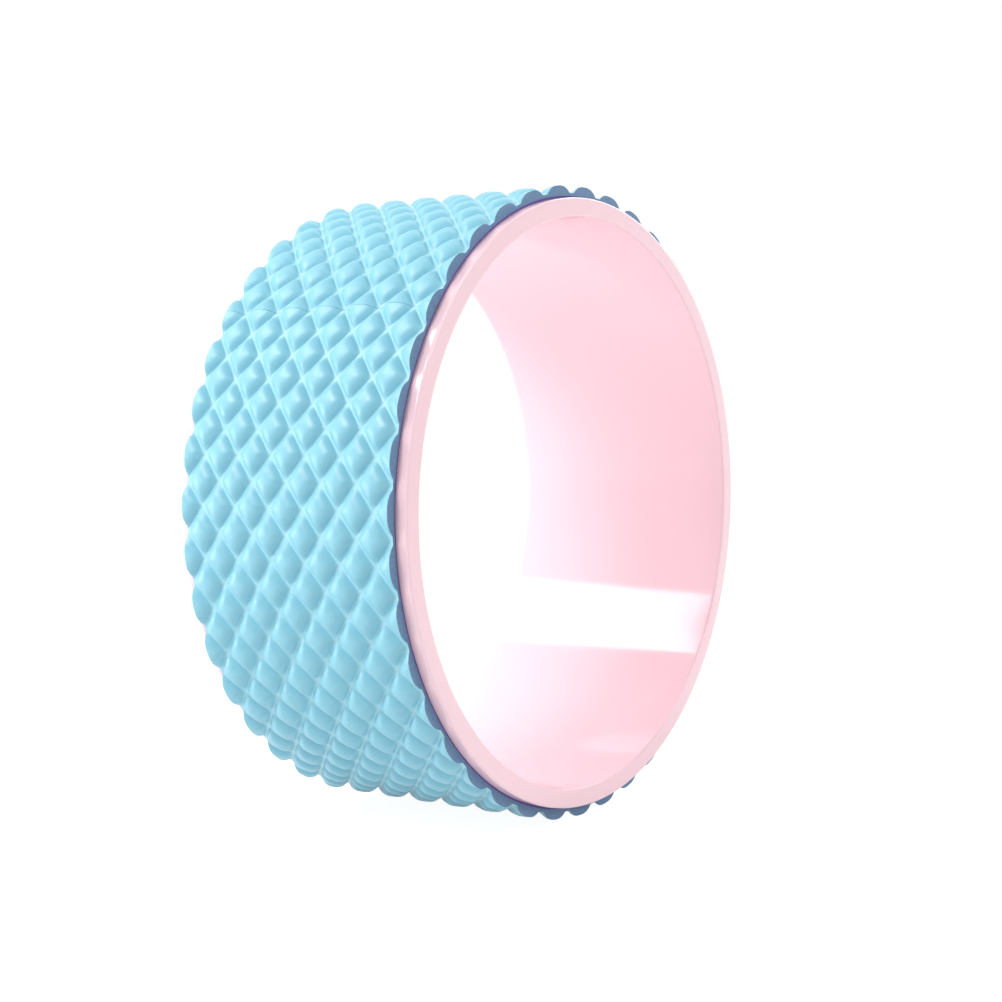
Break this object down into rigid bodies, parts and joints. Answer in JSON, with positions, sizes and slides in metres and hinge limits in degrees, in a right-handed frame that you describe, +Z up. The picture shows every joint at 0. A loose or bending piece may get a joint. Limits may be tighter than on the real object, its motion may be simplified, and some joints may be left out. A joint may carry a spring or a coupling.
{
  "type": "yoga wheel",
  "caption": "Rigid plastic hoop with a soft diamond-studded mat wrapped round its rim, for back stretches, balance and rolling massage.",
  "frame": {"origin": "centre of the wheel, on its axis, midway between the hoop's two faces", "axes": "+Y along the wheel's axis, +Z up as the wheel stands on its tread, +X along the floor the way it rolls"},
  "size_m": [0.2948, 0.125, 0.2948],
  "materials": {
    "hoop_plastic": "pale pink moulded plastic, polished",
    "tape_adhesive": "dark blue-violet double-sided adhesive tape, matt",
    "mat_foam": "light blue moulded foam, soft satin"
  },
  "bodies": {
    "root": {"hoop": "hoop_plastic", "adhesive_tape": "tape_adhesive", "tread_mat": "mat_foam"}
  },
  "joints": []
}
